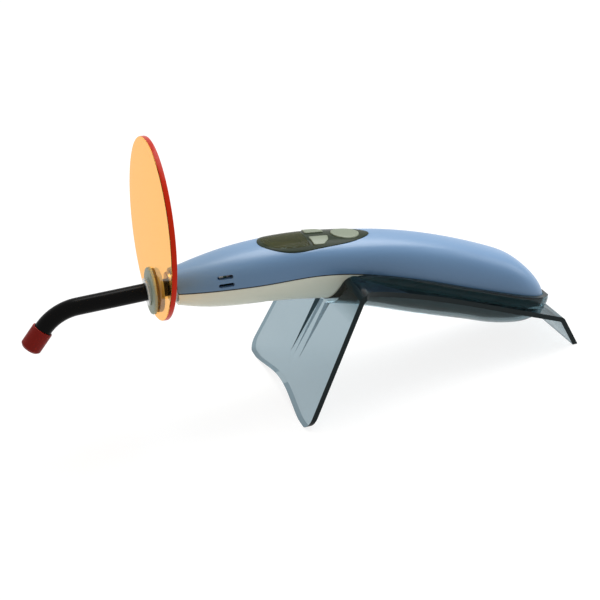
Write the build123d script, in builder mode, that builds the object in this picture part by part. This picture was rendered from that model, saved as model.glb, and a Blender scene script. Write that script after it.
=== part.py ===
from build123d import *
from math import asin, cos, radians, sin, tan
import os

os.makedirs("parts", exist_ok=True)

# The light guide's straight axis lies along X, with the tip towards -X and the table at Z 0.
# Distances named x are measured along X from the shield's front face,
# and levels named z are measured from that axis.
axis_height = 63.5
shield_x = -67.7

# Light guide
guide_radius = 4.0
jacket_wall = 0.5
guide_bend_start = 36.0
guide_bend_radius = 22.0
guide_bend_angle = 48.0
tip_straight = 10.2
cap_length = 10.9
cap_wall = 0.75
cap_start = 0.3
cap_chamfer = 1.2

# Shield and its hub
disc_radius = 40.6
disc_rise = 29.5
disc_thickness = 2.5
disc_x = -2.1
disc_rake = 4.8
disc_round = 0.4
grommet_neck_radius = 7.5
grommet_flange_radius = 10.7
front_flange = 1.5
rear_flange = 2.2
grommet_round = 0.7
ring_radius = 5.4
ring_flange_radius = 6.3
ring_flange = 0.8

# Handpiece shells
nose_x = 8.0
nose_radius = 8.5
body_half_width = 15.5
shell_wall = 2.0
gasket_thickness = 0.6
gasket_recess = 0.15
vent_length = 7.0
vent_height = 1.7
vent_x = 29.0
vent_levels = (1.1, 4.6)

# Nose: socket, lens, emitter and heat sink, one behind the other
ferrule_radius = 5.8
ferrule_flange_radius = 7.0
ferrule_end_x = 23.4
ferrule_flange = 2.0
socket_outer_radius = 7.0
lens_radius = 6.4
lens_thickness = 3.8
lens_edge = 1.4
socket_flange_radius = 8.5
socket_flange = 2.2
socket_setback = 0.4
emitter_radius = 2.6
emitter_height = 1.5
led_board_radius = 8.0
led_board_thickness = 1.6
heat_sink_radius = 8.5
heat_sink_length = 13.0
fin_gap = 1.2
fin_pitch = 2.04
fin_count = 5
first_fin = 2.0
fin_depth = 3.0
seal_section_radius = 0.55
seal_x = 17.0

# Control panel and keys, on a plane that leans with the top of the handpiece
panel_x = 80.0
panel_z = 9.8
panel_lean = 8.5
panel_depth = 0.9
panel_proud = 0.25
panel_front = -31.7
panel_rear = 22.2
panel_side = [(-28.6, 6.8), (-20.8, 10.9), (-6.0, 11.0), (8.6, 8.8), (17.6, 5.2)]
window_border = 2.0
panel_window_end = -9.5
key_proud = 0.7
key_travel = 0.5
key_flange = 0.8
key_bottom = 5.2
power_length = 13.6
power_width = 12.0
power_at = 10.4
small_key_at = -3.6
small_key_gap = 4.8
small_key_corners = [(-4.7, 0.0), (4.7, 0.0), (3.7, 3.9), (0.8, 7.0), (-4.1, 7.0)]
small_key_round = 0.8
board_depth = 9.6
board_thickness = 1.6
board_length = 39.0
board_width = 21.0
board_at = -7.0
display_length = 14.0
display_width = 10.0
display_height = 5.6
display_at = -18.5
buzzer_radius = 4.5
buzzer_height = 4.0
buzzer_hole = 1.0
buzzer_at = -19.0
chip_length = 8.0
chip_width = 6.0
chip_height = 1.4
inductor_side = 6.0
inductor_height = 3.0
inductor_place = (1.5, -5.0)

# Leads, ribs, cell, screws and charging socket
lead_radius = 0.6
lead_pitch = 0.9
lead_z = 7.2
rib = 2.0
heat_rib_x = 36.0
cell_rib_x = (119.0, 148.0)
post_reach = 16.5
post_side = 8.8
post_radius = 1.8
board_screw_radius = 0.8
board_screw_reach = 4.0
board_screw_head = 1.2
switch_size = 6.0
plunger_radius = 1.7
plunger_height = 0.4
key_centre = 5.6
key_gap = 0.15
connector_at = 8.5
connector_length = 6.0
connector_width = 12.0
connector_height = 3.6
battery_lead_at = 5.2
screw_bite = 6.0
pin_radius = 1.0
# Shell screws: x, y and how far above the underside's middle the head is seated
screws = [(48.5, -8.5, 5.0), (48.5, 8.5, 5.0), (103.0, 0, 3.4), (165.0, 0, 3.4)]
cell_radius = 9.0
cell_length = 49.0
cell_x = 134.0
cell_lean = 22.0
screw_radius = 1.1
screw_head_radius = 2.2
screw_head = 1.6
screw_drive_radius = 1.1
boss_radius = 3.5
plug_radius = 2.8
plug_depth = 9.5
charge_nose_radius = 4.3
charge_body = 9.2
charge_length = 11.0
charge_setback = 1.4
charge_rib_width = 8.0
charge_z = -42.6

# Stand
sheet = 2.4
bend_x = 86.0
trough_wall = 2.3
trough_gap = 0.4
foot_half_width = 45.0
bend_half_width = 37.0
waist_half_width = 25.4
plate_half_width = 26.0
foot_corner = 5.0
arch_height = 4.0
channel_half_width = 2.2
channel_depth = 2.6
channel_foot_x = 60.0
channel_head_z = -21.0
# The plate's edge seen from above, and the trough's rim seen from the side
plate_edge = [(105.0, 29.2), (133.0, waist_half_width), (178.0, plate_half_width)]
plate_end_x = 205.0
rim_line = [(74, -17.0), (80, -14.2), (84.3, -10.0), (88.8, -7.0), (94, -7.2), (110, -11.7), (125, -17.1),
            (140, -23.1), (160, -30.9), (178, -37.6), (200, -46.0)]

# Clearances
running = 0.05
fitting = 0.1
# Long enough to pass right through the object
through = 60.0

# The handpiece as a row of upright sections from nose to tail: x, half width, level of the seam,
# of the top and of the underside, how square the top's shoulders are, and the angle
# by which the skin faces the tail
stations = [
    (nose_x, nose_radius, -0.6, nose_radius, -nose_radius, 0.56, 0),
    (16.0, 11.0, -0.8, 9.6, -10.8, 0.60, 0),
    (30.0, 13.6, -1.3, 11.4, -13.4, 0.66, 0),
    (50.0, body_half_width - 0.3, -2.1, 12.2, -15.4, 0.72, 0),
    (70.0, body_half_width, -2.8, 11.1, -18.8, 0.75, 0),
    (90.0, body_half_width, -6.2, 8.3, -23.8, 0.75, 0),
    (110.0, body_half_width, -12.3, 4.5, -31.4, 0.75, 0),
    (130.0, body_half_width, -19.9, -1.2, -39.0, 0.75, 0),
    (150.0, body_half_width, -28.0, -8.8, -46.2, 0.75, 0),
    (165.0, body_half_width, -34.1, -15.6, -51.2, 0.74, 4),
    (175.0, body_half_width - 0.5, -38.1, -21.4, -52.8, 0.72, 14),
    (182.0, body_half_width - 2.3, -40.9, -28.0, -51.8, 0.68, 36),
    (186.5, body_half_width - 5.1, -42.4, -33.8, -49.4, 0.62, 62),
    (188.5, body_half_width - 7.9, -43.0, -37.6, -47.6, 0.58, 85),
]
underside_roundness = 0.62
tail_x = stations[-1][0]

side = Plane(origin=(shield_x, 0, axis_height), x_dir=(1, 0, 0), z_dir=(0, -1, 0))


def across(x, z=0.0):
    # An upright plane across the object, facing the tail
    return Plane(origin=(shield_x + x, 0, axis_height + z), x_dir=(0, 1, 0), z_dir=(1, 0, 0))


def level(x, column):
    # A column of the station table at any x between nose and tail
    for before, after in zip(stations, stations[1:]):
        if x <= after[0]:
            share = (x - before[0]) / (after[0] - before[0])
            return before[column] + share * (after[column] - before[column])


def grown(station, grow):
    # One station moved outwards by grow, as x, half width, seam, top and underside
    x, half, seam, top, bottom, square, turn = station
    outwards = grow * max(cos(radians(turn)), 0.4)
    return (x + grow * sin(radians(turn)), half + outwards, seam, top + outwards, bottom - outwards)


def hull(grow, front=0.0):
    # The handpiece's outer shape, moved outwards by grow, its nose face moved forwards by front
    with BuildPart() as shape:
        for station in stations:
            x, half, seam, top, bottom = grown(station, grow)
            square = station[5]
            if station is stations[0]:
                x -= front
            with BuildSketch(across(x)):
                with BuildLine():
                    rise = square * (top - seam)
                    fall = underside_roundness * (seam - bottom)
                    Bezier((half, seam), (half, seam + rise), (square * half, top), (0, top))
                    Bezier((0, top), (-square * half, top), (-half, seam + rise), (-half, seam))
                    low = underside_roundness * half
                    Bezier((-half, seam), (-half, seam - fall), (-low, bottom), (0, bottom))
                    Bezier((0, bottom), (low, bottom), (half, seam - fall), (half, seam))
                make_face()
        loft()
    return shape.part


def cradle(grow):
    # The lower half of the handpiece, moved outwards by grow and open upwards
    with BuildPart() as shape:
        for station in stations[3:]:
            x, half, seam, top, bottom = grown(station, grow)
            with BuildSketch(across(x)):
                with BuildLine():
                    fall = underside_roundness * (seam - bottom)
                    low = underside_roundness * half
                    Bezier((-half, seam), (-half, seam - fall), (-low, bottom), (0, bottom))
                    Bezier((0, bottom), (low, bottom), (half, seam - fall), (half, seam))
                    Polyline((half, seam), (half, through), (-half, through), (-half, seam))
                make_face()
        loft()
    return shape.part


def above_seam(lift):
    # Everything above the seam's curve, the curve raised by lift
    points = [(s[0], s[2] + lift) for s in stations]
    points = [(nose_x - 12, points[0][1])] + points + [(tail_x + 12, points[-1][1] - 4)]
    with BuildPart() as region:
        with BuildSketch(side):
            with BuildLine():
                Spline(*points)
                Polyline(points[-1], (points[-1][0], through), (points[0][0], through), points[0])
            make_face()
        extrude(amount=through, both=True)
    return region.part


skin = hull(0)
cavity = hull(-shell_wall, front=4)
rib_limit = hull(-shell_wall / 2)
key_limit = hull(key_proud)
panel_skin = hull(panel_proud)
panel_floor = hull(-panel_depth)
flange_limit = hull(-shell_wall - running)
gasket_skin = hull(-gasket_recess)
over_gasket = above_seam(gasket_thickness / 2)
under_gasket = above_seam(-gasket_thickness / 2)

# Control panel's plane, facing out of the top
keys = Plane(
    origin=(shield_x + panel_x, 0, axis_height + panel_z),
    x_dir=(cos(radians(panel_lean)), 0, -sin(radians(panel_lean))),
    z_dir=(sin(radians(panel_lean)), 0, cos(radians(panel_lean))),
)


def panel_outline(inset):
    # Leaf-shaped outline of the panel, blunt at the front and narrow at the rear
    far_side = [(u, v - inset) for u, v in panel_side]
    near_side = [(u, -v) for u, v in reversed(far_side)]
    with BuildSketch() as outline:
        with BuildLine():
            Spline((panel_front + inset, 0), *far_side, (panel_rear - inset, 0), *near_side, periodic=True)
        make_face()
    return outline.sketch


def window_outline(inset):
    # The display window fills the front of the panel behind a narrow border
    with BuildSketch() as outline:
        add(panel_outline(window_border + inset))
        with Locations((panel_window_end - inset, 0)):
            Rectangle(through, through, align=(Align.MIN, Align.CENTER), mode=Mode.SUBTRACT)
    return outline.sketch


def power_outline(grow):
    with BuildSketch() as outline:
        with Locations((power_at, 0)):
            Ellipse(power_length / 2 + grow, power_width / 2 + grow)
    return outline.sketch


def small_key_outline(grow, hand):
    # One of the pair of D-shaped keys, hand 1 on the far side and -1 on the near side
    corners = [(small_key_at + u, small_key_gap / 2 + v) for u, v in small_key_corners]
    with BuildSketch() as outline:
        with BuildLine():
            Polyline(*corners, close=True)
        make_face()
        if grow:
            offset(amount=grow, kind=Kind.INTERSECTION)
        fillet(outline.vertices(), radius=small_key_round + grow)
        if hand < 0:
            mirror(about=Plane.XZ, mode=Mode.REPLACE)
    return outline.sketch


# Stand: a sheet bent over a front leg, a sloping plate and a rear leg, with a trough in it
sheet_path = [(46.3, -71.0), (84.75, -4.8), (190.6, -47.5), (201.2, -70.3)]
sheet_bends = [6.0, 4.0]
leg_slope = (sheet_path[1][1] - sheet_path[0][1]) / (sheet_path[1][0] - sheet_path[0][0])
plan_view = Plane(origin=(shield_x, 0, axis_height), x_dir=(1, 0, 0), z_dir=(0, 0, 1))
trough_inside = cradle(trough_gap)
trough_outside = cradle(trough_gap + trough_wall)

with BuildPart() as trough:
    add(trough_outside)
    with BuildSketch(side):
        with BuildLine():
            Spline(*rim_line)
            Polyline(rim_line[-1], (rim_line[-1][0], through), (rim_line[0][0], through), rim_line[0])
        make_face()
    extrude(amount=through, both=True, mode=Mode.SUBTRACT)

with BuildPart() as sheet_outline:
    with BuildSketch(across(0)):
        with BuildLine():
            Polyline((0, 0), (bend_half_width, 0), (bend_half_width, sheet_path[1][1]),
                     (foot_half_width, -axis_height), (foot_half_width - 12, -axis_height))
            Spline((foot_half_width - 12, -axis_height), (0, arch_height - axis_height),
                   tangents=[(-1, 0.1), (-1, 0)])
            Line((0, arch_height - axis_height), (0, 0))
        face = make_face()
        fillet(face.vertices().group_by(Axis.Y)[0].sort_by(Axis.X)[-1], radius=foot_corner)
        mirror(about=Plane.YZ)
    extrude(amount=bend_x)
    with BuildSketch(plan_view):
        with BuildLine():
            Polyline((bend_x, 0), (bend_x, bend_half_width))
            Spline((bend_x, bend_half_width), *plate_edge, tangents=[(1, -0.7), (1, 0)])
            Polyline(plate_edge[-1], (plate_end_x, plate_half_width), (plate_end_x, 0), (bend_x, 0))
        make_face()
        mirror(about=Plane.XZ)
    extrude(amount=axis_height, both=True)

# The channel that runs out of the trough's mouth and fades into the front leg
leg_back = Vector(leg_slope, -1).normalized()
channel_foot = Vector(channel_foot_x, sheet_path[1][1] + leg_slope * (channel_foot_x - sheet_path[1][0]))
channel_head = Vector(sheet_path[1][0] + (channel_head_z - sheet_path[1][1]) / leg_slope, channel_head_z)
channel_floor = channel_head + leg_back * channel_depth

with BuildPart() as channel:
    with BuildSketch(side):
        with BuildLine():
            Polyline(channel_foot, channel_floor, channel_head - leg_back * channel_depth,
                     channel_foot - leg_back * channel_depth, close=True)
        make_face()
    extrude(amount=channel_half_width, both=True)

with BuildPart() as stand:
    with BuildSketch(side):
        with BuildLine():
            FilletPolyline(*sheet_path, radius=sheet_bends)
            offset(amount=sheet, side=Side.RIGHT)
        make_face()
    extrude(amount=through, both=True)
    add(sheet_outline.part, mode=Mode.INTERSECT)
    add(trough.part)
    with BuildSketch(side):
        with BuildLine():
            Polyline(channel_foot, channel_foot + leg_back * sheet, channel_floor + leg_back * sheet,
                     channel_head, close=True)
        make_face()
    extrude(amount=channel_half_width + sheet, both=True)
    with BuildSketch(side):
        with BuildLine():
            Polyline(channel_foot, channel_head, sheet_path[1], (sheet_path[1][0], through),
                     (0, through), (0, channel_foot.Y), close=True)
        make_face()
    extrude(amount=through, both=True, mode=Mode.SUBTRACT)
    add(channel.part, mode=Mode.SUBTRACT)
    add(trough_inside, mode=Mode.SUBTRACT)
stand.part.label = "stand"
export_step(stand.part, "parts/stand.step")

# Light guide: a glass core in a black jacket, with a steel ferrule at the nose and a cap on the tip
lean = (-cos(radians(guide_bend_angle)), -sin(radians(guide_bend_angle)))
bend_run = guide_bend_radius * tan(radians(guide_bend_angle / 2))
guide_corner = Vector(-guide_bend_start - bend_run, 0)
half_bend = radians(guide_bend_angle / 2)
bend_middle = Vector(
    -guide_bend_start - guide_bend_radius * sin(half_bend), -guide_bend_radius * (1 - cos(half_bend))
)
bend_end = guide_corner + Vector(*lean) * bend_run
guide_end = guide_corner + Vector(*lean) * (bend_run + tip_straight)
tip_start = guide_corner + Vector(*lean) * (bend_run + cap_start)
core_radius = guide_radius - jacket_wall


def along_guide(radius, bore=0.0):
    # A round rod or pipe that follows the bent guide
    with BuildPart() as rod:
        with BuildLine(side):
            Line((ferrule_end_x, 0), (-guide_bend_start, 0))
            ThreePointArc((-guide_bend_start, 0), tuple(bend_middle)[:2], tuple(bend_end)[:2])
            Line(tuple(bend_end)[:2], tuple(guide_end)[:2])
        with BuildSketch(across(ferrule_end_x)):
            Circle(radius)
            if bore:
                Circle(bore, mode=Mode.SUBTRACT)
        sweep()
    return rod.part


light_guide = along_guide(core_radius)
light_guide.label = "light_guide"
export_step(light_guide, "parts/light_guide.step")

guide_jacket = along_guide(guide_radius, core_radius)
guide_jacket.label = "guide_jacket"
export_step(guide_jacket, "parts/guide_jacket.step")

socket_bore = ferrule_radius + running
seal_radius = socket_bore - running - seal_section_radius
ferrule_flange_x = nose_x - running - ferrule_flange
with BuildPart() as guide_ferrule:
    with BuildSketch(across(ferrule_flange_x)):
        Circle(ferrule_flange_radius)
    extrude(amount=ferrule_flange)
    chamfer(guide_ferrule.edges().group_by(Axis.X)[0], length=0.4)
    with BuildSketch(across(nose_x - running)):
        Circle(ferrule_radius)
    extrude(amount=ferrule_end_x - nose_x + running)
    with BuildSketch(across(ferrule_flange_x)):
        Circle(guide_radius)
    extrude(amount=ferrule_end_x - ferrule_flange_x, mode=Mode.SUBTRACT)
    with BuildSketch(side):
        with Locations((seal_x, seal_radius - seal_section_radius - running)):
            Rectangle(2 * seal_section_radius + 4 * running, 3, align=(Align.CENTER, Align.MIN))
    revolve(axis=Axis((shield_x, 0, axis_height), (1, 0, 0)), mode=Mode.SUBTRACT)
guide_ferrule.part.label = "guide_ferrule"
export_step(guide_ferrule.part, "parts/guide_ferrule.step")

with BuildPart() as guide_seal:
    with BuildSketch(side):
        with Locations((seal_x, seal_radius)):
            Circle(seal_section_radius)
    revolve(axis=Axis((shield_x, 0, axis_height), (1, 0, 0)))
guide_seal.part.label = "guide_seal"
export_step(guide_seal.part, "parts/guide_seal.step")

tip = Plane(
    origin=(shield_x + tip_start.X, 0, axis_height + tip_start.Y),
    x_dir=(0, 1, 0),
    z_dir=(lean[0], 0, lean[1]),
)
cap_bore = guide_radius + running
with BuildPart() as tip_cap:
    with BuildSketch(tip):
        Circle(cap_bore + cap_wall)
    extrude(amount=cap_length)
    chamfer(tip_cap.faces().sort_by(Axis(tip.origin, tip.z_dir))[-1].edges(), length=cap_chamfer)
    with BuildSketch(tip):
        Circle(cap_bore)
    extrude(amount=cap_length - cap_wall, mode=Mode.SUBTRACT)
tip_cap.part.label = "tip_cap"
export_step(tip_cap.part, "parts/tip_cap.step")

# Shield: a raked disc gripped by a rubber grommet, which turns on a ring that slides on the guide
rake = Plane(
    origin=(shield_x + disc_x, 0, axis_height),
    x_dir=(0, 1, 0),
    z_dir=(cos(radians(disc_rake)), 0, -sin(radians(disc_rake))),
)
with BuildPart() as shield_disc:
    with BuildSketch(rake):
        with Locations((0, disc_rise)):
            Circle(disc_radius)
        Circle(grommet_neck_radius, mode=Mode.SUBTRACT)
    extrude(amount=disc_thickness)
    fillet(shield_disc.edges().filter_by(GeomType.CIRCLE).sort_by(SortBy.LENGTH)[-2:], radius=disc_round)
shield_disc.part.label = "shield_disc"
export_step(shield_disc.part, "parts/shield_disc.step")

ring_front = disc_x - front_flange - ring_flange_radius * tan(radians(disc_rake)) - 2 * fitting - ring_flange
ring_rear = disc_x + disc_thickness + rear_flange + 3 * fitting
with BuildPart() as shield_grommet:
    with BuildSketch(rake.offset(-front_flange)):
        Circle(grommet_flange_radius)
    extrude(amount=front_flange)
    with BuildSketch(rake):
        Circle(grommet_neck_radius)
    extrude(amount=disc_thickness)
    with BuildSketch(rake.offset(disc_thickness)):
        Circle(grommet_flange_radius - grommet_round)
    extrude(amount=rear_flange)
    rims = shield_grommet.edges().filter_by(GeomType.CIRCLE).sort_by(Axis(rake.origin, rake.z_dir))
    fillet([rims[0], rims[-1]], radius=grommet_round)
    with BuildSketch(across(0)):
        Circle(ring_radius + running)
    extrude(amount=through, both=True, mode=Mode.SUBTRACT)
shield_grommet.part.label = "shield_grommet"
export_step(shield_grommet.part, "parts/shield_grommet.step")

with BuildPart() as hub_ring:
    with BuildSketch(across(ring_front)):
        Circle(ring_flange_radius)
    extrude(amount=ring_flange)
    fillet(hub_ring.edges().group_by(Axis.X)[0], radius=ring_flange / 2)
    with BuildSketch(across(ring_front)):
        Circle(ring_radius)
    extrude(amount=ring_rear - ring_front)
    with BuildSketch(across(ring_front)):
        Circle(guide_radius + running)
    extrude(amount=ring_rear - ring_front, mode=Mode.SUBTRACT)
hub_ring.part.label = "hub_ring"
export_step(hub_ring.part, "parts/hub_ring.step")

# Light engine in the nose: socket, lens, emitter on its board, and heat sink
lens_x = ferrule_end_x + fitting
socket_end_x = lens_x + lens_thickness + emitter_height + 2 * fitting
led_board_x = socket_end_x
heat_sink_x = led_board_x + led_board_thickness
nose_rib_x = socket_end_x - socket_flange - rib
with BuildPart() as nose_socket:
    with BuildSketch(across(nose_x + socket_setback)):
        Circle(socket_outer_radius)
    extrude(amount=socket_end_x - nose_x - socket_setback)
    with BuildSketch(across(socket_end_x - socket_flange)):
        Circle(socket_flange_radius)
    extrude(amount=socket_flange)
    with BuildSketch(across(nose_x)):
        Circle(socket_bore)
    extrude(amount=lens_x - nose_x, mode=Mode.SUBTRACT)
    with BuildSketch(across(lens_x)):
        Circle(lens_radius)
    extrude(amount=socket_end_x - lens_x, mode=Mode.SUBTRACT)
nose_socket.part.label = "nose_socket"
export_step(nose_socket.part, "parts/nose_socket.step")

lens_dome = lens_thickness - lens_edge
dome_radius = (lens_radius ** 2 + lens_dome ** 2) / (2 * lens_dome)
dome_half = asin(lens_radius / dome_radius) / 2
dome_middle = (lens_x + lens_thickness - dome_radius * (1 - cos(dome_half)), dome_radius * sin(dome_half))
with BuildPart() as collimator_lens:
    with BuildSketch(side):
        with BuildLine():
            Polyline((lens_x + lens_thickness, 0), (lens_x, 0), (lens_x, lens_radius),
                     (lens_x + lens_edge, lens_radius))
            ThreePointArc((lens_x + lens_edge, lens_radius), dome_middle, (lens_x + lens_thickness, 0))
        make_face()
    revolve(axis=Axis((shield_x, 0, axis_height), (1, 0, 0)))
collimator_lens.part.label = "collimator_lens"
export_step(collimator_lens.part, "parts/collimator_lens.step")

with BuildPart() as led_emitter:
    with BuildSketch(across(led_board_x)):
        RectangleRounded(1.8 * emitter_radius, 1.8 * emitter_radius, 0.3)
    extrude(amount=-emitter_height / 2)
    with BuildSketch(across(led_board_x - emitter_height / 2)):
        Circle(0.8 * emitter_radius)
    extrude(amount=-emitter_height / 2)
    fillet(led_emitter.edges().group_by(Axis.X)[0], radius=emitter_height / 3)
led_emitter.part.label = "led_emitter"
export_step(led_emitter.part, "parts/led_emitter.step")

with BuildPart() as led_board:
    with BuildSketch(across(led_board_x)):
        Circle(led_board_radius)
    extrude(amount=led_board_thickness)
led_board.part.label = "led_board"
export_step(led_board.part, "parts/led_board.step")

with BuildPart() as heat_sink:
    with BuildSketch(across(heat_sink_x)):
        Circle(heat_sink_radius)
    extrude(amount=heat_sink_length)
    for fin in range(fin_count):
        with BuildSketch(across(heat_sink_x + first_fin + fin_pitch * fin)):
            Circle(through)
            Circle(heat_sink_radius - fin_depth, mode=Mode.SUBTRACT)
        extrude(amount=fin_gap, mode=Mode.SUBTRACT)
    with BuildSketch(across(heat_sink_x)):
        with Locations((0, lead_z - lead_radius - fitting)):
            Rectangle(2 * (lead_pitch + lead_radius + fitting), through, align=(Align.CENTER, Align.MIN))
    extrude(amount=heat_sink_length, mode=Mode.SUBTRACT)
heat_sink.part.label = "heat_sink"
export_step(heat_sink.part, "parts/heat_sink.step")

# Ribs, posts and bosses moulded inside the shells, made whole here and shared out at the seam
cell_z = (level(cell_x, 3) + level(cell_x, 4)) / 2
cell_lie = (cos(radians(cell_lean)), 0, -sin(radians(cell_lean)))
cell_plane = Plane(
    origin=(shield_x + cell_x, 0, axis_height + cell_z), x_dir=(0, 1, 0), z_dir=cell_lie
)
charge_x = tail_x - shell_wall - charge_setback - charge_length
charge_face_x = tail_x - fitting
post_places = [(board_at + u * post_reach, v * post_side) for u in (-1, 1) for v in (-1, 1)]

with BuildPart() as ribs:
    for x in (nose_rib_x, heat_rib_x, *cell_rib_x):
        with BuildSketch(across(x)):
            Rectangle(through, 3 * through)
        extrude(amount=rib)
    with BuildSketch(keys.offset(-board_depth)):
        with Locations(*post_places):
            Circle(post_radius)
    extrude(amount=through)
    with BuildSketch(plan_view):
        with Locations(*[(x, y) for x, y, seat in screws]):
            Circle(boss_radius)
    extrude(amount=2 * through, both=True)
    with BuildSketch(across(charge_x + 1)):
        with Locations((0, charge_z)):
            Rectangle(charge_rib_width, 2 * through)
    extrude(amount=rib * 2)
    add(rib_limit, mode=Mode.INTERSECT)
    with BuildSketch(across(nose_x)):
        Circle(socket_outer_radius + running)
    extrude(amount=socket_end_x - nose_x, mode=Mode.SUBTRACT)
    with BuildSketch(across(socket_end_x)):
        Circle(heat_sink_radius)
    extrude(amount=led_board_thickness + heat_sink_length + 4 * fitting, mode=Mode.SUBTRACT)
    with BuildSketch(cell_plane):
        Circle(cell_radius)
    extrude(amount=cell_length / 2, both=True, mode=Mode.SUBTRACT)
    with BuildSketch(across(charge_x)):
        with Locations((0, charge_z)):
            Rectangle(charge_body, charge_body)
    extrude(amount=charge_length, mode=Mode.SUBTRACT)

with BuildPart() as panel_recess:
    with BuildSketch(keys.offset(-board_depth)):
        add(panel_outline(-fitting))
    extrude(amount=through)
    add(panel_floor, mode=Mode.SUBTRACT)

with BuildPart() as key_openings:
    with BuildSketch(keys.offset(-board_depth)):
        add(power_outline(key_gap))
        add(small_key_outline(key_gap, 1))
        add(small_key_outline(key_gap, -1))
    extrude(amount=through)

# The nose's and the tail's round holes, which the seam splits
with BuildPart() as end_holes:
    with BuildSketch(across(nose_x - gasket_recess)):
        Circle(socket_outer_radius + running)
    extrude(amount=socket_end_x - socket_flange - nose_x)
    with BuildSketch(across(charge_x)):
        with Locations((0, charge_z)):
            Circle(charge_nose_radius + running)
    extrude(amount=through)

with BuildPart() as upper_shell:
    add(skin)
    add(cavity, mode=Mode.SUBTRACT)
    add(ribs.part)
    add(over_gasket, mode=Mode.INTERSECT)
    add(panel_recess.part, mode=Mode.SUBTRACT)
    add(key_openings.part, mode=Mode.SUBTRACT)
    with BuildSketch(keys.offset(-board_depth)):
        with Locations((display_at, 0)):
            Rectangle(display_length + 4 * fitting, display_width + 4 * fitting)
    extrude(amount=through, mode=Mode.SUBTRACT)
    with BuildSketch(side):
        with Locations(*[(vent_x, z) for z in vent_levels]):
            SlotOverall(vent_length, vent_height)
    extrude(amount=through, both=True, mode=Mode.SUBTRACT)
    add(end_holes.part, mode=Mode.SUBTRACT)
    with BuildSketch(keys.offset(-board_depth)):
        with Locations(*post_places):
            Circle(board_screw_radius)
    extrude(amount=board_screw_reach, mode=Mode.SUBTRACT)
    for x, y, seat in screws:
        with BuildSketch(plan_view.offset(level(x, 2))):
            with Locations((x, y)):
                Circle(screw_radius)
        extrude(amount=screw_bite, mode=Mode.SUBTRACT)
upper_shell.part.label = "upper_shell"
export_step(upper_shell.part, "parts/upper_shell.step")

with BuildPart() as lower_shell:
    add(skin)
    add(cavity, mode=Mode.SUBTRACT)
    add(ribs.part)
    add(under_gasket, mode=Mode.SUBTRACT)
    add(end_holes.part, mode=Mode.SUBTRACT)
    for x, y, seat in screws:
        with BuildSketch(plan_view.offset(level(x, 4) + seat)):
            with Locations((x, y)):
                Circle(screw_radius + fitting)
        extrude(amount=through, mode=Mode.SUBTRACT)
        with BuildSketch(plan_view.offset(level(x, 4) + seat)):
            with Locations((x, y)):
                Circle(screw_head_radius + fitting)
        extrude(amount=-through, mode=Mode.SUBTRACT)
lower_shell.part.label = "lower_shell"
export_step(lower_shell.part, "parts/lower_shell.step")

with BuildPart() as seam_gasket:
    add(gasket_skin)
    add(cavity, mode=Mode.SUBTRACT)
    add(under_gasket, mode=Mode.INTERSECT)
    add(over_gasket, mode=Mode.SUBTRACT)
    add(end_holes.part, mode=Mode.SUBTRACT)
seam_gasket.part.label = "seam_gasket"
export_step(seam_gasket.part, "parts/seam_gasket.step")

with BuildPart() as shell_screws:
    for x, y, seat in screws:
        with BuildSketch(plan_view.offset(level(x, 4) + seat)):
            with Locations((x, y)):
                Circle(screw_head_radius)
                RegularPolygon(radius=screw_drive_radius, side_count=6, mode=Mode.SUBTRACT)
        extrude(amount=-screw_head)
        with BuildSketch(plan_view.offset(level(x, 4) + seat - screw_head / 2)):
            with Locations((x, y)):
                Circle(screw_radius)
        extrude(amount=level(x, 2) + screw_bite - level(x, 4) - seat + screw_head / 2)
shell_screws.part.label = "shell_screws"
export_step(shell_screws.part, "parts/shell_screws.step")

# Control panel, its window and the three keys
with BuildPart() as panel_cover:
    with BuildSketch(keys.offset(-board_depth)):
        add(panel_outline(0))
    extrude(amount=through)
    add(panel_skin, mode=Mode.INTERSECT)
    add(panel_floor, mode=Mode.SUBTRACT)
    add(key_openings.part, mode=Mode.SUBTRACT)
    with BuildSketch(keys.offset(-board_depth)):
        add(window_outline(0))
    extrude(amount=through, mode=Mode.SUBTRACT)
panel_cover.part.label = "panel_cover"
export_step(panel_cover.part, "parts/panel_cover.step")

with BuildPart() as display_window:
    with BuildSketch(keys.offset(-board_depth)):
        add(window_outline(running))
    extrude(amount=through)
    add(panel_skin, mode=Mode.INTERSECT)
    add(panel_floor, mode=Mode.SUBTRACT)
display_window.part.label = "display_window"
export_step(display_window.part, "parts/display_window.step")

key_outlines = {
    "mode_button": (small_key_outline(0, -1), small_key_outline(key_flange, -1)),
    "time_button": (small_key_outline(0, 1), small_key_outline(key_flange, 1)),
    "power_button": (power_outline(0), power_outline(key_flange)),
}
for name, (outline, flange) in key_outlines.items():
    with BuildPart() as rim:
        with BuildSketch(keys.offset(-key_bottom)):
            add(flange)
        extrude(amount=through)
        add(flange_limit, mode=Mode.INTERSECT)
    with BuildPart() as button:
        with BuildSketch(keys.offset(-key_bottom)):
            add(outline)
        extrude(amount=through)
        add(key_limit, mode=Mode.INTERSECT)
        add(rim.part)
    button.part.label = name
    export_step(button.part, f"parts/{name}.step")

# Main board with its parts, hung from four posts of the upper shell
board_top = keys.offset(-board_depth)
board_under = keys.offset(-board_depth - board_thickness)
key_places = [(small_key_at, key_centre), (small_key_at, -key_centre), (power_at, 0)]
with BuildPart() as main_board:
    with BuildSketch(board_under):
        with Locations((board_at, 0)):
            RectangleRounded(board_length, board_width, 1.5)
        with Locations(*post_places):
            Circle(board_screw_radius + running, mode=Mode.SUBTRACT)
    extrude(amount=board_thickness)
main_board.part.label = "main_board"
export_step(main_board.part, "parts/main_board.step")

with BuildPart() as board_screws:
    with BuildSketch(board_under):
        with Locations(*post_places):
            Circle(2 * board_screw_radius)
    extrude(amount=-board_screw_head)
    with BuildSketch(board_under.offset(-board_screw_head / 2)):
        with Locations(*post_places):
            Circle(board_screw_radius)
    extrude(amount=board_screw_head / 2 + board_thickness + board_screw_reach)
board_screws.part.label = "board_screws"
export_step(board_screws.part, "parts/board_screws.step")

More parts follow.
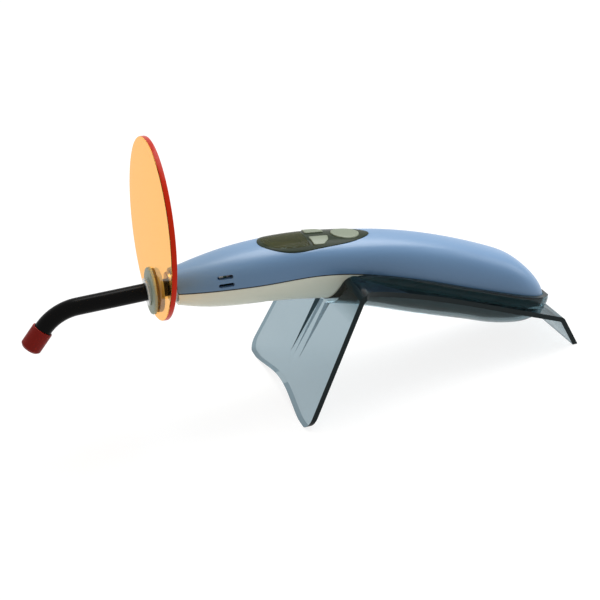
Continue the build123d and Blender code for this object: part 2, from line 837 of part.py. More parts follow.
with BuildPart() as key_switches:
    with BuildSketch(board_top):
        with Locations(*key_places):
            Rectangle(switch_size, switch_size)
    extrude(amount=board_depth - key_bottom - key_travel - 2 * fitting - plunger_height)
    with BuildSketch(board_top):
        with Locations(*key_places):
            Circle(plunger_radius)
    extrude(amount=board_depth - key_bottom - key_travel - 2 * fitting)
key_switches.part.label = "key_switches"
export_step(key_switches.part, "parts/key_switches.step")

with BuildPart() as display_module:
    with BuildSketch(board_top):
        with Locations((display_at, 0)):
            Rectangle(display_length, display_width)
    extrude(amount=display_height)
display_module.part.label = "display_module"
export_step(display_module.part, "parts/display_module.step")

with BuildPart() as buzzer:
    with BuildSketch(board_under):
        with Locations((buzzer_at, 0)):
            Circle(buzzer_radius)
    extrude(amount=-buzzer_height)
    with BuildSketch(board_under.offset(-buzzer_height)):
        with Locations((buzzer_at, 0)):
            Circle(buzzer_hole)
    extrude(amount=buzzer_hole, mode=Mode.SUBTRACT)
buzzer.part.label = "buzzer"
export_step(buzzer.part, "parts/buzzer.step")

with BuildPart() as controller_chip:
    with BuildSketch(board_under):
        with Locations((board_at, 0)):
            Rectangle(chip_length, chip_width)
    extrude(amount=-chip_height)
controller_chip.part.label = "controller_chip"
export_step(controller_chip.part, "parts/controller_chip.step")

with BuildPart() as power_inductor:
    with BuildSketch(board_under):
        with Locations(inductor_place):
            RectangleRounded(inductor_side, inductor_side, inductor_side / 5)
    extrude(amount=-inductor_height)
power_inductor.part.label = "power_inductor"
export_step(power_inductor.part, "parts/power_inductor.step")

with BuildPart() as battery_connector:
    with BuildSketch(board_under):
        with Locations((connector_at, 0)):
            Rectangle(connector_length, connector_width)
    extrude(amount=-connector_height)
battery_connector.part.label = "battery_connector"
export_step(battery_connector.part, "parts/battery_connector.step")

# Leads from the board to the emitter, and from the cell to its connector
board_front = keys.from_local_coords(
    Vector(board_at - board_length / 2, 0, -board_depth - board_thickness / 2)
)
with BuildPart() as led_leads:
    for hand in (-1, 1):
        start = Vector(shield_x + heat_sink_x, hand * lead_pitch, axis_height + lead_z)
        knee = Vector(shield_x + heat_sink_x + heat_sink_length + 2, hand * lead_pitch, axis_height + lead_z)
        end = Vector(board_front.X - 2 * fitting, hand * lead_pitch, board_front.Z)
        with BuildLine():
            FilletPolyline(start, knee, end, radius=6)
        with BuildSketch(Plane(origin=start, z_dir=(1, 0, 0))):
            Circle(lead_radius)
        sweep()
led_leads.part.label = "led_leads"
export_step(led_leads.part, "parts/led_leads.step")

connector_rear = keys.from_local_coords(
    Vector(connector_at + connector_length / 2, 0, -board_depth - board_thickness - connector_height / 2)
)
cell_front = cell_plane.from_local_coords(Vector(0, 0, -cell_length / 2))
with BuildPart() as battery_leads:
    for hand in (-1, 1):
        aside = Vector(0, hand * battery_lead_at, 0)
        start = connector_rear + aside
        end = cell_front + aside
        first_knee = start + keys.x_dir * 5
        last_knee = end - Vector(*cell_lie) * 6
        with BuildLine():
            FilletPolyline(start, first_knee, last_knee, end, radius=2.5)
        with BuildSketch(Plane(origin=start, z_dir=keys.x_dir)):
            Circle(lead_radius)
        sweep()
battery_leads.part.label = "battery_leads"
export_step(battery_leads.part, "parts/battery_leads.step")

with BuildPart() as battery_cell:
    with BuildSketch(cell_plane):
        Circle(cell_radius)
    extrude(amount=cell_length / 2, both=True)
    fillet(battery_cell.edges(), radius=0.6)
battery_cell.part.label = "battery_cell"
export_step(battery_cell.part, "parts/battery_cell.step")

# Charging socket at the tail, with its centre pin
with BuildPart() as charging_socket:
    with BuildSketch(across(charge_x)):
        with Locations((0, charge_z)):
            Rectangle(charge_body, charge_body)
    extrude(amount=charge_length)
    with BuildSketch(across(charge_x)):
        with Locations((0, charge_z)):
            Circle(charge_nose_radius)
    extrude(amount=charge_face_x - charge_x)
    with BuildSketch(across(charge_face_x - plug_depth)):
        with Locations((0, charge_z)):
            Circle(plug_radius)
    extrude(amount=plug_depth, mode=Mode.SUBTRACT)
charging_socket.part.label = "charging_socket"
export_step(charging_socket.part, "parts/charging_socket.step")

with BuildPart() as charging_pin:
    with BuildSketch(across(charge_face_x - plug_depth)):
        with Locations((0, charge_z)):
            Circle(pin_radius)
    extrude(amount=plug_depth - 1.5)
    fillet(charging_pin.edges().group_by(Axis.X)[-1], radius=0.5)
charging_pin.part.label = "charging_pin"
export_step(charging_pin.part, "parts/charging_pin.step")
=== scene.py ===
import bpy
import bmesh
from math import cos, pi, radians, sin
from mathutils import Matrix, Vector


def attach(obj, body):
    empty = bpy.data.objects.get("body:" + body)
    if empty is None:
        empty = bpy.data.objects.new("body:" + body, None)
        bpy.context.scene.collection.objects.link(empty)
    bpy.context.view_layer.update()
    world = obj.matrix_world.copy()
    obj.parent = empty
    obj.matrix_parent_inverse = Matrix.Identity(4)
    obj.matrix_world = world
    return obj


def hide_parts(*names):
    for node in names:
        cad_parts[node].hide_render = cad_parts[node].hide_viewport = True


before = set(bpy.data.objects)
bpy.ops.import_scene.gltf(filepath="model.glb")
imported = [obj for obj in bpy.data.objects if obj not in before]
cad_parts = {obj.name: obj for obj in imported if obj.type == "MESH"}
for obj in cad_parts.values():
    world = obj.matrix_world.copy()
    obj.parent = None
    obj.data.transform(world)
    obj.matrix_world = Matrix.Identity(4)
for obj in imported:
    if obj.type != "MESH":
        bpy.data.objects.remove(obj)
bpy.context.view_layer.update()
scene = bpy.context.scene
print("frame loaded:", len(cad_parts), "nodes")

mm = 0.001
axisHeight = 63.5
hubX = -67.7


def at(x, y, z):
    # Metres from millimetres: past the shield's hub along the light guide's axis, beside it and above it
    return Vector((x + hubX, y, z + axisHeight)) * mm


def linear(level):
    # One channel of a colour written as 0 to 255, as linear light
    level = level / 255
    return level / 12.92 if level <= 0.04045 else ((level + 0.055) / 1.055) ** 2.4


def srgb(colour):
    return tuple(linear(level) for level in colour) + (1.0,)


# Camera: its place in millimetres, the axes of its picture, its lens, and how far it sees in metres
view = {
    "place": (-92.75, -530.08, 251.32),
    "right": (0.94367, -0.32201, -0.07612),
    "up": (0.20744, 0.39653, 0.89428),
    "back": (-0.25778, -0.85970, 0.44099),
    "lens": 79.2, "sensor": 36, "reach": 20,
}
camera = bpy.data.objects.new("camera", bpy.data.cameras.new("camera"))
scene.collection.objects.link(camera)
camera.data.lens = view["lens"]
camera.data.sensor_width = view["sensor"]
camera.data.clip_end = view["reach"]
turn = Matrix([Vector(view[key]).normalized() for key in ("right", "up", "back")]).transposed()
camera.matrix_world = Matrix.Translation(at(*view["place"])) @ turn.to_4x4()
scene.camera = camera


class Wire:
    # A node's output that can be used in ordinary arithmetic
    def __init__(self, bench, socket):
        self.bench = bench
        self.socket = socket

    def math(self, operation, left, right):
        return self.bench.node("ShaderNodeMath", [left, right], operation=operation)

    def __add__(self, other):
        return self.math("ADD", self, other)

    def __radd__(self, other):
        return self.math("ADD", other, self)

    def __sub__(self, other):
        return self.math("SUBTRACT", self, other)

    def __rsub__(self, other):
        return self.math("SUBTRACT", other, self)

    def __mul__(self, other):
        return self.math("MULTIPLY", self, other)

    def __truediv__(self, other):
        return self.math("DIVIDE", self, other)


class Bench:
    # A node tree being built: a finish, the world, or the tree of a repeated shape
    def __init__(self, tree):
        self.tree = tree
        self.tree.nodes.clear()

    def node(self, kind, inputs=(), output=0, **settings):
        # Inputs are a list in the sockets' order, or a dictionary by name or number
        made = self.tree.nodes.new(kind)
        for key, value in settings.items():
            setattr(made, key, value)
        pairs = inputs.items() if isinstance(inputs, dict) else enumerate(inputs)
        for key, value in pairs:
            if isinstance(value, Wire):
                self.tree.links.new(value.socket, made.inputs[key])
            else:
                made.inputs[key].default_value = value
        return Wire(self, made.outputs[output])

    def several(self, kind, outputs, inputs=()):
        # The same for a node of which more than one output is used
        made = self.node(kind, inputs).socket.node
        return [Wire(self, made.outputs[key]) for key in outputs]

    def coords(self):
        return self.node("ShaderNodeTexCoord", output="Object")

    def clamped(self, value):
        return self.node("ShaderNodeClamp", {"Value": value})

    def noise(self, scale, detail, roughness=0.5):
        values = {"Vector": self.coords(), "Scale": scale, "Detail": detail, "Roughness": roughness}
        return self.node("ShaderNodeTexNoise", values)

    def between(self, factor, first, second):
        # The colour mix's factor, its two colours and its result, by their sockets' numbers
        return self.node("ShaderNodeMix", {0: factor, 6: first, 7: second}, 2, data_type="RGBA")

    def bump(self, height, strength, distance):
        return self.node("ShaderNodeBump", {"Height": height, "Strength": strength, "Distance": distance})

    def finish(self, shader, target="ShaderNodeOutputMaterial"):
        made = self.tree.nodes.new(target)
        self.tree.links.new(shader.socket, made.inputs[0])


def newFinish(name):
    made = bpy.data.materials.new(name)
    made.use_nodes = True
    return made, Bench(made.node_tree)


# Moulded plastic, rubber or metal: two close colours in soft patches, and a fine grain
moulded = {
    "patchDetail": 2.0, "glossSwing": 0.08, "coatRough": 0.08,
    "grainScale": 2600.0, "grainDetail": 2.0, "grainDepth": 0.00004,
}


def skin(bench, colours, rough, grain, coat=0.0, patch=30.0, metal=0.0, specular=0.5,
         glow=(255, 255, 255), power=0.0):
    patches = bench.noise(patch, moulded["patchDetail"])
    grainy = bench.noise(moulded["grainScale"], moulded["grainDetail"])
    return bench.node("ShaderNodeBsdfPrincipled", {
        "Base Color": bench.between(patches, srgb(colours[0]), srgb(colours[1])),
        "Roughness": rough + (patches - 0.5) * moulded["glossSwing"],
        "Metallic": metal,
        "Coat Weight": coat,
        "Coat Roughness": moulded["coatRough"],
        "Specular IOR Level": specular,
        "Emission Color": srgb(glow),
        "Emission Strength": power,
        "Normal": bench.bump(grainy, grain, moulded["grainDepth"]),
    })


def plastic(name, **look):
    made, bench = newFinish(name)
    bench.finish(skin(bench, **look))
    return made


def paintedEdge(name, within, rough=0.3, grain=0.02, **look):
    # Dark from outside, and clear from within the sheet: painted shade on the stand's edges, and painted
    # glow on the disc's rim
    made, bench = newFinish(name)
    dark = skin(bench, rough=rough, grain=grain, **look)
    clear = bench.node("ShaderNodeBsdfTransparent", {"Color": srgb(within)})
    inside = bench.node("ShaderNodeNewGeometry", output="Backfacing")
    bench.finish(bench.node("ShaderNodeMixShader", [inside, dark, clear]))
    return made


# Clear dyed plastic or glass, with faint handling marks
dyed = {
    "markScale": 90.0, "markDetail": 4.0, "markRough": 0.6, "markSwing": 0.05,
    "waveScale": 25.0, "waveDetail": 1.0, "wave": 0.05, "waveDepth": 0.0004, "glazeRough": 0.03,
}


def tinted(name, colour, rough, clear=1.0, ior=1.49, glaze=0.0):
    # The colour may also be a function that makes it from places
    made, bench = newFinish(name)
    marks = bench.noise(dyed["markScale"], dyed["markDetail"], dyed["markRough"])
    waves = bench.noise(dyed["waveScale"], dyed["waveDetail"])
    bench.finish(bench.node("ShaderNodeBsdfPrincipled", {
        "Base Color": colour(bench) if callable(colour) else srgb(colour),
        "Roughness": rough + marks * dyed["markSwing"],
        "Transmission Weight": clear,
        "IOR": ior,
        "Coat Weight": glaze,
        "Coat Roughness": dyed["glazeRough"],
        "Normal": bench.bump(waves, dyed["wave"], dyed["waveDepth"]),
    }))
    return made


smoke = {
    # colours of the stand's legs, and the painted shade of its trough's rim, walls and lowest part
    "legs": (152, 170, 178), "rim": (72, 98, 106), "wallShade": (88, 112, 120), "bottom": (96, 112, 116),
    # millimetres: the trough's ends, a place on its top edge, and the depths at which the painted shade
    # changes
    "noseEnd": 78.0, "tailEnd": 198.0, "fade": 7.0, "edge": (84.75, -4.8),
    "rimShadeDepth": 2.0, "bottomDepth": 9.0, "bottomFade": 4.0,
    # how steeply the edge falls towards the tail
    "fall": 0.4034,
}
troughEdge = at(smoke["edge"][0], 0, smoke["edge"][1])


def smokeTintAndTroughShade(bench):
    # Painted shade: the trough's walls are painted darker than the legs, for how they look standing along
    # the view and holding the handpiece
    along, height = bench.several("ShaderNodeSeparateXYZ", "XZ", [bench.coords()])
    below = troughEdge.z - (along - troughEdge.x) * smoke["fall"] - height
    fade = smoke["fade"] * mm
    inside = bench.clamped((along - at(smoke["noseEnd"], 0, 0).x) / fade)
    inside = inside * bench.clamped((at(smoke["tailEnd"], 0, 0).x - along) / fade)
    high = bench.clamped(below / (smoke["rimShadeDepth"] * mm))
    troughShade = bench.between(high, srgb(smoke["rim"]), srgb(smoke["wallShade"]))
    low = bench.clamped((below - smoke["bottomDepth"] * mm) / (smoke["bottomFade"] * mm))
    troughShade = bench.between(low, troughShade, srgb(smoke["bottom"]))
    return bench.between(inside, srgb(smoke["legs"]), troughShade)


plastics = {
    "blueShell": {"colours": [(99, 136, 175), (104, 141, 179)], "rough": 0.38, "grain": 0.1, "coat": 0.08},
    "whiteShell": {"colours": [(243, 245, 226), (237, 240, 221)], "rough": 0.36, "grain": 0.1, "coat": 0.1},
    "gasket": {"colours": [(20, 26, 26), (28, 34, 34)], "rough": 0.6, "grain": 0.3},
    "panel": {"colours": [(30, 42, 24), (38, 48, 32)], "rough": 0.22, "grain": 0.02, "specular": 0.06},
    "key": {"colours": [(112, 123, 100), (106, 117, 95)], "rough": 0.4, "grain": 0.15},
    "blackJacket": {"colours": [(2, 2, 2), (4, 4, 3)], "rough": 0.22, "grain": 0.04, "specular": 0.07},
    "cap": {"colours": [(140, 26, 16), (126, 22, 14)], "rough": 0.46, "grain": 0.2, "specular": 0.15},
    "grommet": {"colours": [(176, 188, 166), (166, 178, 158)], "rough": 0.5, "grain": 0.25},
    "hubRing": {"colours": [(226, 228, 222), (214, 216, 210)], "rough": 0.2, "grain": 0.05, "coat": 0.4},
    "board": {
        "colours": [(16, 84, 44), (26, 104, 58)], "rough": 0.35, "grain": 0.3, "coat": 0.4, "patch": 220,
    },
    "wire": {"colours": [(150, 26, 22), (130, 20, 18)], "rough": 0.4, "grain": 0.1},
    "blackPlastic": {"colours": [(22, 22, 23), (32, 32, 34)], "rough": 0.45, "grain": 0.2},
    "whitePlastic": {"colours": [(222, 216, 198), (212, 206, 188)], "rough": 0.45, "grain": 0.2},
    "cellSleeve": {"colours": [(38, 78, 150), (46, 88, 162)], "rough": 0.28, "grain": 0.05, "coat": 0.3},
    "phosphor": {"colours": [(236, 214, 92), (226, 200, 80)], "rough": 0.4, "grain": 0.1},
    # a painted glow lights it a little, so that it shows through its window
    "liquidCrystal": {
        "colours": [(126, 122, 100), (118, 114, 92)], "rough": 0.2, "grain": 0.02, "specular": 0.2,
        "glow": (126, 122, 92), "power": 0.5,
    },
}
metals = {
    "steel": {"colours": [(160, 160, 156), (142, 142, 138)], "rough": 0.28, "grain": 0.1, "patch": 60},
    "aluminium": {"colours": [(150, 152, 156), (128, 130, 134)], "rough": 0.38, "grain": 0.2, "patch": 120},
    "brass": {"colours": [(214, 176, 96), (196, 158, 82)], "rough": 0.22, "grain": 0.1, "patch": 90},
    "screwSteel": {"colours": [(168, 168, 166), (148, 148, 148)], "rough": 0.3, "grain": 0.2, "patch": 300},
}
dyes = {
    "window": {"colour": (104, 108, 80), "rough": 0.05, "clear": 0.7, "ior": 1.06},
    "guideCore": {"colour": (240, 226, 180), "rough": 0.02, "clear": 0.8},
    "disc": {"colour": (247, 181, 92), "rough": 0.02, "ior": 1.04, "glaze": 0.1},
    "smokedSheet": {"colour": smokeTintAndTroughShade, "rough": 0.04, "ior": 1.06, "glaze": 0.4},
    "lensGlass": {"colour": (245, 250, 252), "rough": 0.01},
}
edges = {
    "smokedEdge": {"colours": [(14, 26, 28), (22, 36, 38)], "within": smoke["legs"], "specular": 0.15},
    # painted shade: the groove's wall is painted darker, as the sheet looks darker seen along it
    "grooveWall": {"colours": [(74, 96, 104), (82, 104, 112)], "within": smoke["legs"], "specular": 0.15},
    # the disc's rim gives out the light that its face gathers, as a painted glow
    "discEdge": {
        "colours": [(150, 26, 6), (140, 22, 5)], "within": (252, 214, 160), "specular": 0.08,
        "glow": (214, 44, 8), "power": 0.35,
    },
}
finishes = {name: plastic(name, **look) for name, look in plastics.items()}
finishes.update({name: plastic(name, metal=1.0, **look) for name, look in metals.items()})
finishes.update({name: tinted(name, **look) for name, look in dyes.items()})
finishes.update({name: paintedEdge(name, **look) for name, look in edges.items()})
print("finishes made:", len(finishes))

# The CAD nodes that stay, by finish
carried = {
    "gasket": ["guide_seal"],
    "guideCore": ["light_guide"],
    "lensGlass": ["collimator_lens"],
    "phosphor": ["led_emitter"],
    "board": ["led_board", "main_board"],
    "aluminium": ["heat_sink"],
    "wire": ["led_leads", "battery_leads"],
    "blackPlastic": ["key_switches", "buzzer", "controller_chip", "power_inductor"],
    "whitePlastic": ["battery_connector"],
    "cellSleeve": ["battery_cell"],
    "brass": ["charging_pin"],
}
for finish, nodes in carried.items():
    for node in nodes:
        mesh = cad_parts[node].data
        mesh.materials.clear()
        mesh.materials.append(finishes[finish])

# Angles in degrees, a count and a distance in metres, for rounding edges, joining vertices and shading
shading = {"roundOver": 40, "roundSteps": 2, "join": 2e-6, "flat": 0.4, "sharp": 32}


def piece(name, mesh, body, nodes, finish, bevel=0.0):
    # A finished mesh takes its CAD nodes' place and rides on their body
    made = bpy.data.objects.new(name, mesh)
    scene.collection.objects.link(made)
    slots = [face.material_index for face in mesh.polygons]
    mesh.materials.clear()
    for key in [finish] if isinstance(finish, str) else finish:
        mesh.materials.append(finishes[key])
    # Clearing the finishes has set each face back to the first
    mesh.polygons.foreach_set("material_index", slots)
    if bevel:
        rounding = made.modifiers.new("rounding", "BEVEL")
        rounding.width = bevel * mm
        rounding.segments = shading["roundSteps"]
        rounding.limit_method = "ANGLE"
        rounding.angle_limit = radians(shading["roundOver"])
        rounding.harden_normals = True
    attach(made, body)
    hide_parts(*nodes)
    return made


def smoothCopy(node):
    # The CAD node's shape with its triangles joined, shaded smoothly between sharp edges
    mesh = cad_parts[node].data.copy()
    shape = bmesh.new()
    shape.from_mesh(mesh)
    bmesh.ops.remove_doubles(shape, verts=shape.verts, dist=shading["join"])
    flat = radians(shading["flat"])
    bmesh.ops.dissolve_limit(shape, angle_limit=flat, verts=shape.verts, edges=shape.edges)
    for face in shape.faces:
        face.material_index = 0
        face.smooth = True
    shape.to_mesh(mesh)
    shape.free()
    mesh.set_sharp_from_angle(angle=radians(shading["sharp"]))
    return mesh


def toMesh(shape, name):
    bmesh.ops.recalc_face_normals(shape, faces=shape.faces)
    mesh = bpy.data.meshes.new(name)
    shape.to_mesh(mesh)
    shape.free()
    mesh.set_sharp_from_angle(angle=radians(shading["sharp"]))
    return mesh


copied = {
    # piece: node, body, slot, finish, edge rounding in millimetres
    "upperShell": ("upper_shell", "handpiece", "blue_shell", "blueShell", 0.25),
    "lowerShell": ("lower_shell", "handpiece", "white_shell", "whiteShell", 0.25),
    "seamGasket": ("seam_gasket", "handpiece", "gasket", "gasket", 0.0),
    "panelCover": ("panel_cover", "handpiece", "panel", "panel", 0.15),
    "displayWindow": ("display_window", "handpiece", "window", "window", 0.1),
    "modeButton": ("mode_button", "mode_key", "key", "key", 0.35),
    "timeButton": ("time_button", "time_key", "key", "key", 0.35),
    "powerButton": ("power_button", "power_key", "key", "key", 0.35),
    "noseSocket": ("nose_socket", "handpiece", "steel", "steel", 0.15),
    "chargingSocket": ("charging_socket", "handpiece", "black_plastic", "blackPlastic", 0.2),
    "guideFerrule": ("guide_ferrule", "guide", "steel", "steel", 0.1),
    "guideJacket": ("guide_jacket", "guide", "black_jacket", "blackJacket", 0.0),
    "tipCap": ("tip_cap", "cap", "tip_cap", "cap", 0.3),
    "shieldGrommet": ("shield_grommet", "shield", "grommet", "grommet", 0.0),
    "hubRing": ("hub_ring", "shield_slider", "hub_ring", "hubRing", 0.15),
}
for name, (node, body, slot, finish, bevel) in copied.items():
    piece(name, smoothCopy(node), body, [node], finish, bevel)
print("pieces copied:", len(copied))

# Painted shade: the cut edges of the stand's sheet, the trough's rim and the faces in its mouth are painted
# dark, for the light that runs along inside the sheet and doesn't come out, and for the shade under the
# handpiece
stand = {
    "finishes": ["smokedSheet", "smokedEdge", "grooveWall"], "bevel": 0.3,
    # millimetres along the axis: where the front leg meets its bend, and the ends of the trough's mouth
    "bend": 84.0, "mouth": (70.0, 92.0),
    # millimetres from the middle: how far the groove and the mouth reach, and where leg and side edges begin
    "groove": 3.0, "mouthHalf": 22.0, "legEdges": 6.0, "sideEdges": 21.0,
    # millimetres up: below which a face is a foot's underside, and past the edge's line, a rim
    "foot": 0.3, "rim": 0.8,
    # limits on a face's normal: along, aside and up, and how well it agrees with the sheet's flat parts
    "along": 0.05, "aside": 0.5, "lipAlong": 0.3, "lipUp": 0.65, "rimUp": 0.6, "mouthUp": 0.15,
    "flush": 0.98, "legFront": (-0.865, 0, 0.502), "plateTop": (smoke["fall"], 0, 1),
}
legFront = Vector(stand["legFront"])
plateTop = Vector(stand["plateTop"]).normalized()
mouthStart, mouthEnd = [at(end, 0, 0).x for end in stand["mouth"]]


def sheetFinish(place, out):
    # Which of the sheet's finishes a face takes, by its middle and its normal
    onLeg = place.x < at(stand["bend"], 0, 0).x
    facesAside = abs(out.y) > stand["aside"]
    # The groove's wall takes its painted shade
    if facesAside and onLeg and 0 < place.y < stand["groove"] * mm:
        return 2
    above = place.z - troughEdge.z + (place.x - troughEdge.x) * smoke["fall"]
    inMouth = mouthStart < place.x < mouthEnd and abs(place.y) < stand["mouthHalf"] * mm
    flush = max(out.dot(legFront), out.dot(plateTop)) >= stand["flush"]
    # Faces that take the painted shade: cut edges, feet's undersides, the lip, the rim and the mouth
    cut = [
        onLeg and abs(out.x) < stand["along"] and abs(place.y) > stand["legEdges"] * mm,
        facesAside and abs(place.y) > stand["sideEdges"] * mm,
        place.z < stand["foot"] * mm,
        place.x < mouthEnd and out.x < -stand["lipAlong"] and out.z > stand["lipUp"],
        above > stand["rim"] * mm and out.z > stand["rimUp"] and abs(out.y) < stand["aside"],
        inMouth and out.z > stand["mouthUp"] and not flush,
    ]
    return int(any(cut))


mesh = smoothCopy("stand")
for face in mesh.polygons:
    face.material_index = sheetFinish(face.center, face.normal)
sheet = piece("standSheet", mesh, "stand", ["stand"], stand["finishes"], stand["bevel"])
# The rounded edges take the cut edge's finish, with its painted shade
sheet.modifiers["rounding"].material = 1

# Where the keys' plane stands: its origin in millimetres and its lean in degrees
keyPlane = {"place": (80.0, 0.0, 9.8), "lean": 8.5}
lean = radians(keyPlane["lean"])
keyTurn = Matrix(((cos(lean), 0, sin(lean)), (0, 1, 0), (-sin(lean), 0, cos(lean)))).to_4x4()
keySpace = Matrix.Translation(at(*keyPlane["place"])) @ keyTurn


def repeated(name, build, sizes, points, lengths, finish, space):
    # Runs a tree of Geometry Nodes over some points and hands back the plain mesh
    tree = bpy.data.node_groups.new(name, "GeometryNodeTree")
    tree.interface.new_socket("Geometry", in_out="OUTPUT", socket_type="NodeSocketGeometry")
    kinds = {"Geometry": "NodeSocketGeometry", "Finish": "NodeSocketMaterial"}
    identifiers = {}
    for label in ["Geometry", *sizes, "Finish"]:
        kind = kinds.get(label, "NodeSocketFloat")
        identifiers[label] = tree.interface.new_socket(label, in_out="INPUT", socket_type=kind).identifier
    bench = Bench(tree)
    wires = dict(zip(identifiers, bench.several("NodeGroupInput", identifiers)))
    whole = bench.node("GeometryNodeRealizeInstances", [build(bench, wires)])
    painted = bench.node("GeometryNodeSetMaterial", {"Geometry": whole, "Material": wires["Finish"]})
    bench.finish(painted, "NodeGroupOutput")
    cloud = bpy.data.meshes.new(name)
    cloud.from_pydata([Vector(point) * mm for point in points], [], [])
    reach = cloud.attributes.new("length", "FLOAT", "POINT")
    reach.data.foreach_set("value", [far * mm for far in lengths])
    holder = bpy.data.objects.new(name + "Points", cloud)
    scene.collection.objects.link(holder)
    runner = holder.modifiers.new("tree", "NODES")
    runner.node_group = tree
    for label, size in sizes.items():
        runner[identifiers[label]] = size * mm
    runner[identifiers["Finish"]] = finishes[finish]
    mesh = bpy.data.meshes.new_from_object(holder.evaluated_get(bpy.context.evaluated_depsgraph_get()))
    bpy.data.objects.remove(holder)
    mesh.transform(space)
    return mesh


def upright(bench, vertices, radius, depth, centre):
    # A cylinder standing on Z, its middle at the height given
    made = bench.node("GeometryNodeMeshCylinder", {"Vertices": vertices, "Radius": radius, "Depth": depth})
    place = bench.node("ShaderNodeCombineXYZ", {"Z": centre})
    return bench.node("GeometryNodeTransform", {"Geometry": made, "Translation": place})


# Each part's number of sides, and the height of its middle: in head heights, and in metres for the 1 m shank
screwShape = {"head": (32, -0.5), "drive": (6, -1.1), "shank": (20, 0.5)}


def screw(bench, given):
    # A socket-head screw that points up, its head's seat on the point
    high = given["Head height"]
    sides, middle = screwShape["head"]
    head = upright(bench, sides, given["Head radius"], high, high * middle)
    sides, middle = screwShape["drive"]
    drive = upright(bench, sides, given["Drive radius"], high, high * middle)
    cut = bench.node("GeometryNodeMeshBoolean", [head, drive], operation="DIFFERENCE")
    heads = bench.node("GeometryNodeInstanceOnPoints", {"Points": given["Geometry"], "Instance": cut})
    sides, middle = screwShape["shank"]
    shank = upright(bench, sides, given["Shank radius"], 1.0, middle)
    far = bench.node("GeometryNodeInputNamedAttribute", {"Name": "length"}, data_type="FLOAT")
    stretch = bench.node("ShaderNodeCombineXYZ", {"X": 1.0, "Y": 1.0, "Z": far})
    values = {"Points": given["Geometry"], "Instance": shank, "Scale": stretch}
    shanks = bench.node("GeometryNodeInstanceOnPoints", values)
    both = bench.node("GeometryNodeJoinGeometry", [heads])
    bench.tree.links.new(shanks.socket, both.socket.node.inputs[0])
    return both


screws = {
    # millimetres: the shell's from the light guide's axis at the hub, the board's from the keys' plane
    "shellScrews": {
        "node": "shell_screws", "space": Matrix.Translation(at(0, 0, 0)), "bevel": 0.12,
        "sizes": {"Head radius": 2.2, "Head height": 1.6, "Drive radius": 1.1, "Shank radius": 1.1},
        "points": [(48.5, -8.5, -10.25), (48.5, 8.5, -10.25), (103.0, 0, -25.34), (165.0, 0, -47.8)],
        "lengths": [14.2, 14.2, 21.15, 19.7],
    },
    "boardScrews": {
        "node": "board_screws", "space": keySpace, "bevel": 0.08,
        "sizes": {"Head radius": 1.6, "Head height": 1.2, "Drive radius": 0.8, "Shank radius": 0.8},
        "points": [(along, aside, -11.2) for along in (-23.5, 9.5) for aside in (-8.8, 8.8)],
        "lengths": [5.6] * 4,
    },
}
for name, kind in screws.items():
    mesh = repeated(name, screw, kind["sizes"], kind["points"], kind["lengths"], "screwSteel", kind["space"])
    piece(name, mesh, "handpiece", [kind["node"]], "screwSteel", kind["bevel"])

display = {
    # millimetres in the keys' plane; the case ends below the bars' top by glass, and the crystal by face
    "place": (-18.5, 0.0, -9.6), "length": 14.0, "width": 10.0, "height": 5.6, "bezel": 0.9,
    "glass": 0.2, "face": 0.05, "bars": 7, "pitch": 1.5, "barLength": 0.8, "barWidth": 1.4,
}


def block(shape, low, high, finish):
    # An upright block between two corners, in millimetres
    made = bmesh.ops.create_cube(shape, size=1.0)["verts"]
    for vertex in made:
        vertex.co = Vector(low[i] + (high[i] - low[i]) * (vertex.co[i] + 0.5) for i in range(3)) * mm
    for face in {face for vertex in made for face in vertex.link_faces}:
        face.material_index = finish


shape = bmesh.new()
along, aside, base = display["place"]
half, wide, top = display["length"] / 2, display["width"] / 2, base + display["height"]
glass, front, bezel = top - display["glass"], top - display["face"], display["bezel"]
left, right, near, far = along - half, along + half, aside - wide, aside + wide
block(shape, (left, near, base), (right, far, glass), 0)
block(shape, (left + bezel, near + bezel, glass), (right - bezel, far - bezel, front), 1)
for bar in range(display["bars"]):
    start = (left + 2 * bezel + bar * display["pitch"], near + 2 * bezel, front)
    block(shape, start, (start[0] + display["barLength"], start[1] + display["barWidth"], top), 0)
mesh = toMesh(shape, "displayModule")
mesh.transform(keySpace)
lit = ["blackPlastic", "liquidCrystal"]
piece("displayModule", mesh, "handpiece", ["display_module"], lit)
print("stand, screws and display made")

disc = {
    # millimetres, and degrees for the rake, by which the disc leans; rise is from its hole up to its middle
    "radius": 40.6, "rise": 29.5, "thickness": 2.5, "x": -2.1, "rake": 4.8, "hole": 7.5, "round": 0.45,
    # points in a ring, the rounded edge's rings in degrees, and which bands between rings the red rim takes
    "steps": 160, "edge": (90, 60, 30, 0), "rim": range(4, 9),
}


def ringSolid(origin, across, up, along, rings, steps):
    # Rings of some points each, joined into a closed skin; a ring is how far along and up, and its radius
    shape = bmesh.new()
    loops = []
    for far, rise, radius in rings:
        loop = []
        for step in range(steps):
            angle = 2 * pi * step / steps
            offset = across * (radius * cos(angle)) + up * (rise + radius * sin(angle)) + along * far
            loop.append(shape.verts.new(origin + offset * mm))
        loops.append(loop)
    for index, loop in enumerate(loops):
        after = loops[(index + 1) % len(loops)]
        for step in range(steps):
            beside = (step + 1) % steps
            face = shape.faces.new((loop[step], loop[beside], after[beside], after[step]))
            face.smooth = True
    return shape


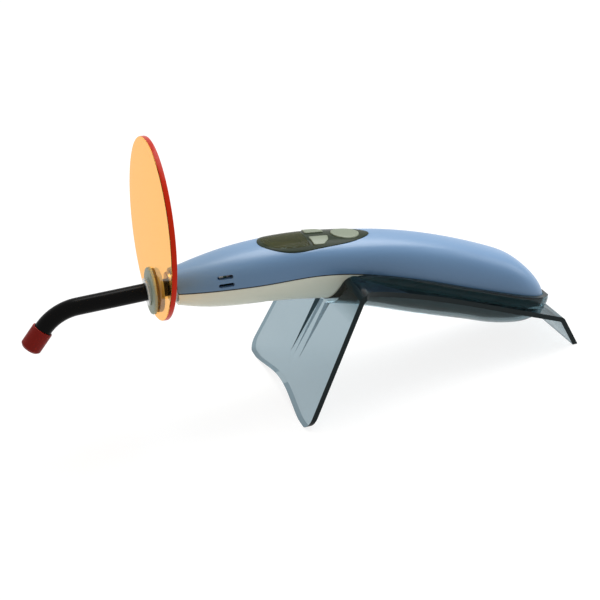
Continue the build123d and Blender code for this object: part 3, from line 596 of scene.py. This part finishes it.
rake = radians(disc["rake"])
discUp = Vector((sin(rake), 0, cos(rake)))
discAlong = Vector((cos(rake), 0, -sin(rake)))
rise, radius, deep, curve = disc["rise"], disc["radius"], disc["thickness"], disc["round"]
angles = [radians(angle) for angle in disc["edge"]]
edge = [(curve * (1 - sin(angle)), radius - curve * (1 - cos(angle))) for angle in angles]
inner = radius - 2 * curve
rings = [(0, 0, disc["hole"]), (0, rise, inner)]
rings += [(far, rise, wide) for far, wide in edge]
rings += [(deep - far, rise, wide) for far, wide in reversed(edge)]
rings += [(deep, rise, inner), (deep, 0, disc["hole"])]
shape = ringSolid(at(disc["x"], 0, 0), Vector((0, 1, 0)), discUp, discAlong, rings, disc["steps"])
for index, face in enumerate(shape.faces):
    face.material_index = int(index // disc["steps"] in disc["rim"])
piece("shieldDisc", toMesh(shape, "shieldDisc"), "shield", ["shield_disc"], ["disc", "discEdge"])
print("shield made")

studio = {
    # metres: the floor's corners, and how far it lies below the feet, so that the two don't share a plane
    "corners": [(-4, -3), (4, -3), (4, 6), (-4, 6)], "drop": 0.0001,
    # the floor's grey as surfaces see it; the camera sees a glow, and a grey that takes shadow
    "floor": 0.6, "glow": 0.84, "shadow": 0.22,
    # the world's light on surfaces and behind them
    "soft": 0.36, "white": 1.0,
    # lamps: place in metres, size, watts; and the place that they face
    "lamps": {"overhead": ((0.45, 0.35, 1.05), 0.9, 15.0), "tail": ((1.1, -0.1, 0.5), 0.6, 2.5)},
    "aim": (0, 0, 0.05),
}
floor = bpy.data.objects.new("floor", bpy.data.meshes.new("floor"))
floor.data.from_pydata([(x, y, -studio["drop"]) for x, y in studio["corners"]], [], [(0, 1, 2, 3)])
scene.collection.objects.link(floor)


def grey(level):
    return (level, level, level, 1)


def seenDirectly(bench):
    # 1 where the camera, a reflection or a clear sheet looks, 0 where a surface gathers light
    kinds = ["Is Camera Ray", "Is Glossy Ray", "Is Transmission Ray"]
    straight, mirrored, through = bench.several("ShaderNodeLightPath", kinds)
    return bench.clamped(straight + mirrored + through)


floorFinish, bench = newFinish("floor")
pale = bench.node("ShaderNodeBsdfDiffuse", {"Color": grey(studio["floor"])})
glow = bench.node("ShaderNodeEmission", {"Color": grey(1), "Strength": studio["glow"]})
shadow = bench.node("ShaderNodeBsdfDiffuse", {"Color": grey(studio["shadow"])})
lifted = bench.node("ShaderNodeAddShader", [glow, shadow])
bench.finish(bench.node("ShaderNodeMixShader", [seenDirectly(bench), pale, lifted]))
floor.data.materials.append(floorFinish)

world = bpy.data.worlds.new("studio")
scene.world = world
world.use_nodes = True
bench = Bench(world.node_tree)
soft = bench.node("ShaderNodeBackground", {"Color": grey(1), "Strength": studio["soft"]})
white = bench.node("ShaderNodeBackground", {"Color": grey(1), "Strength": studio["white"]})
bench.finish(bench.node("ShaderNodeMixShader", [seenDirectly(bench), soft, white]), "ShaderNodeOutputWorld")

for name, (place, size, power) in studio["lamps"].items():
    lamp = bpy.data.objects.new(name, bpy.data.lights.new(name, "AREA"))
    lamp.data.size = size
    lamp.data.energy = power
    lamp.location = place
    lamp.rotation_euler = (Vector(studio["aim"]) - Vector(place)).to_track_quat("-Z", "Y").to_euler()
    scene.collection.objects.link(lamp)
scene.view_settings.view_transform = "Standard"
print("studio set")
